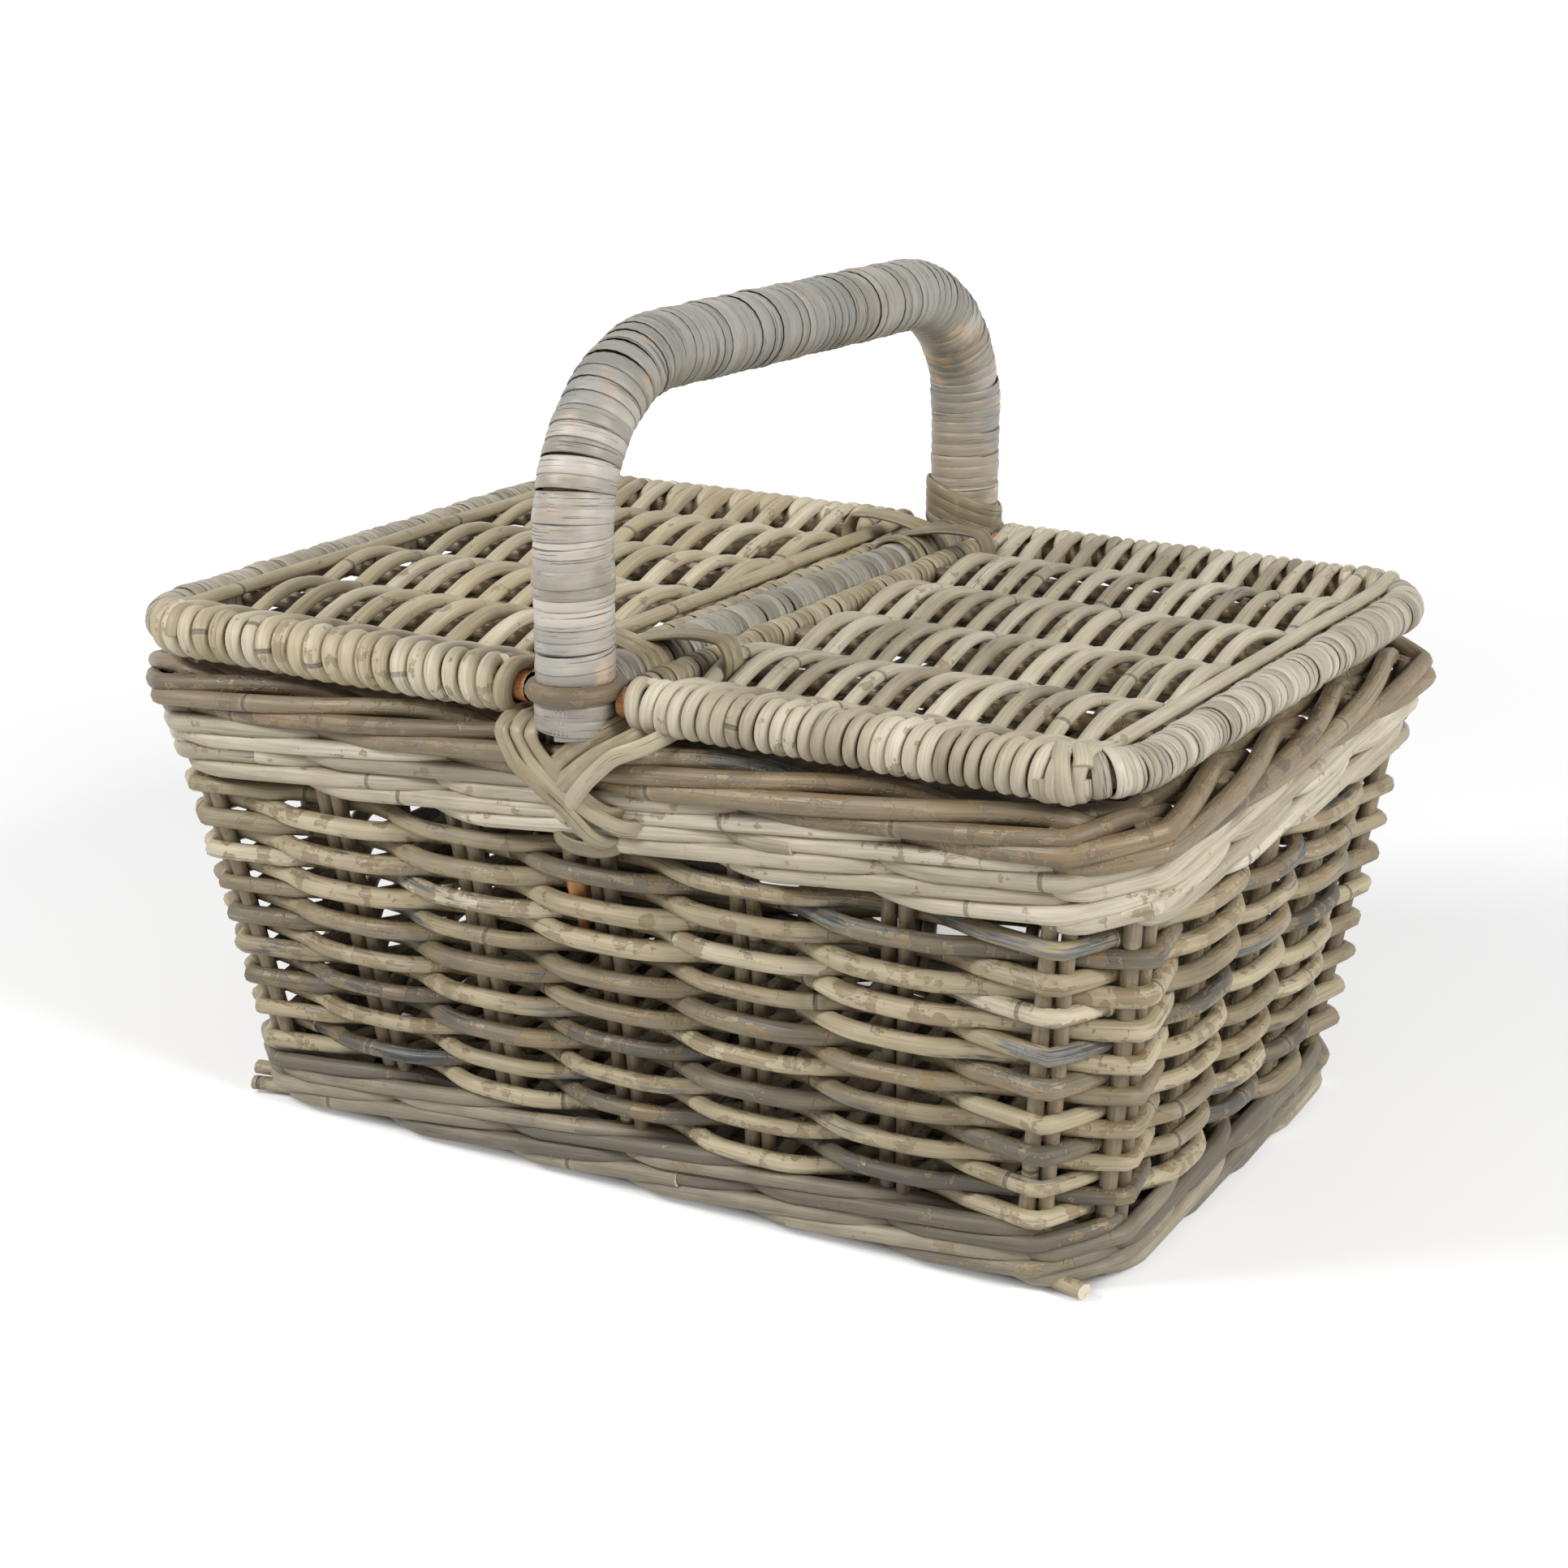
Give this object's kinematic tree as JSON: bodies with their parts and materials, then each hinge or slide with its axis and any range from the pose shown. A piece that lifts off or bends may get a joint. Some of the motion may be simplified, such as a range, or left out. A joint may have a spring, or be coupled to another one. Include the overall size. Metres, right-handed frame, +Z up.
{
  "type": "picnic basket",
  "caption": "Tapered rectangular woven rattan picnic basket with a fixed wound arch handle and lids that swing up either side of a wound crossbar",
  "frame": {"origin": "under the middle of the foot, on the surface it stands on", "axes": "+Z up, +X along the long side towards the right lid, the front long wall faces -Y"},
  "size_m": [0.49, 0.3626, 0.3692],
  "materials": {
    "woven_rattan": "matt weathered grey-brown rattan",
    "pale_rattan": "matt pale straw-grey rattan",
    "brown_rod": "satin brown rattan",
    "grey_peel": "satin silver-grey rattan peel"
  },
  "bodies": {
    "basket": {"wall_weave_front": "woven_rattan", "wall_weave_right": "woven_rattan", "wall_weave_back": "woven_rattan", "wall_weave_left": "woven_rattan", "stake_pair_front_1": "woven_rattan", "stake_pair_front_2": "woven_rattan", "stake_pair_front_3": "woven_rattan", "stake_pair_front_4": "woven_rattan", "stake_pair_front_5": "woven_rattan", "stake_pair_front_6": "woven_rattan", "stake_pair_front_7": "woven_rattan", "stake_pair_right_1": "woven_rattan", "stake_pair_right_2": "woven_rattan", "stake_pair_right_3": "woven_rattan", "stake_pair_right_4": "woven_rattan", "stake_pair_right_5": "woven_rattan", "stake_pair_back_1": "woven_rattan", "stake_pair_back_2": "woven_rattan", "stake_pair_back_3": "woven_rattan", "stake_pair_back_4": "woven_rattan", "stake_pair_back_5": "woven_rattan", "stake_pair_back_6": "woven_rattan", "stake_pair_back_7": "woven_rattan", "stake_pair_left_1": "woven_rattan", "stake_pair_left_2": "woven_rattan", "stake_pair_left_3": "woven_rattan", "stake_pair_left_4": "woven_rattan", "stake_pair_left_5": "woven_rattan", "foot_border": "pale_rattan", "base_mat": "woven_rattan", "rim_border": "brown_rod", "handle_core": "brown_rod", "handle_wrap": "grey_peel", "collar_front": "brown_rod", "collar_back": "brown_rod", "lashing_front": "pale_rattan", "lashing_back": "pale_rattan", "crossbar_core": "brown_rod", "crossbar_wrap": "grey_peel", "left_lid_hinge_loop_front": "pale_rattan", "left_lid_hinge_loop_back": "pale_rattan", "right_lid_hinge_loop_front": "pale_rattan", "right_lid_hinge_loop_back": "pale_rattan"},
    "left_lid": {"left_lid_frame": "brown_rod", "left_lid_inner_rod": "grey_peel", "left_lid_weave": "pale_rattan", "left_lid_end_wrap": "pale_rattan", "left_lid_rib_1": "woven_rattan", "left_lid_rib_2": "woven_rattan", "left_lid_rib_3": "woven_rattan", "left_lid_rib_4": "woven_rattan"},
    "right_lid": {"right_lid_frame": "brown_rod", "right_lid_inner_rod": "grey_peel", "right_lid_weave": "pale_rattan", "right_lid_end_wrap": "pale_rattan", "right_lid_rib_1": "woven_rattan", "right_lid_rib_2": "woven_rattan", "right_lid_rib_3": "woven_rattan", "right_lid_rib_4": "woven_rattan"}
  },
  "joints": [
    {"name": "left_lid_hinge", "type": "hinge", "parent": "basket", "child": "left_lid", "pos_m": [-0.01845, 0, 0.2359], "axis": [0, 1, 0], "range_deg": [0, 90]},
    {"name": "right_lid_hinge", "type": "hinge", "parent": "basket", "child": "right_lid", "pos_m": [0.01845, 0, 0.2359], "axis": [0, -1, 0], "range_deg": [0, 90]}
  ]
}
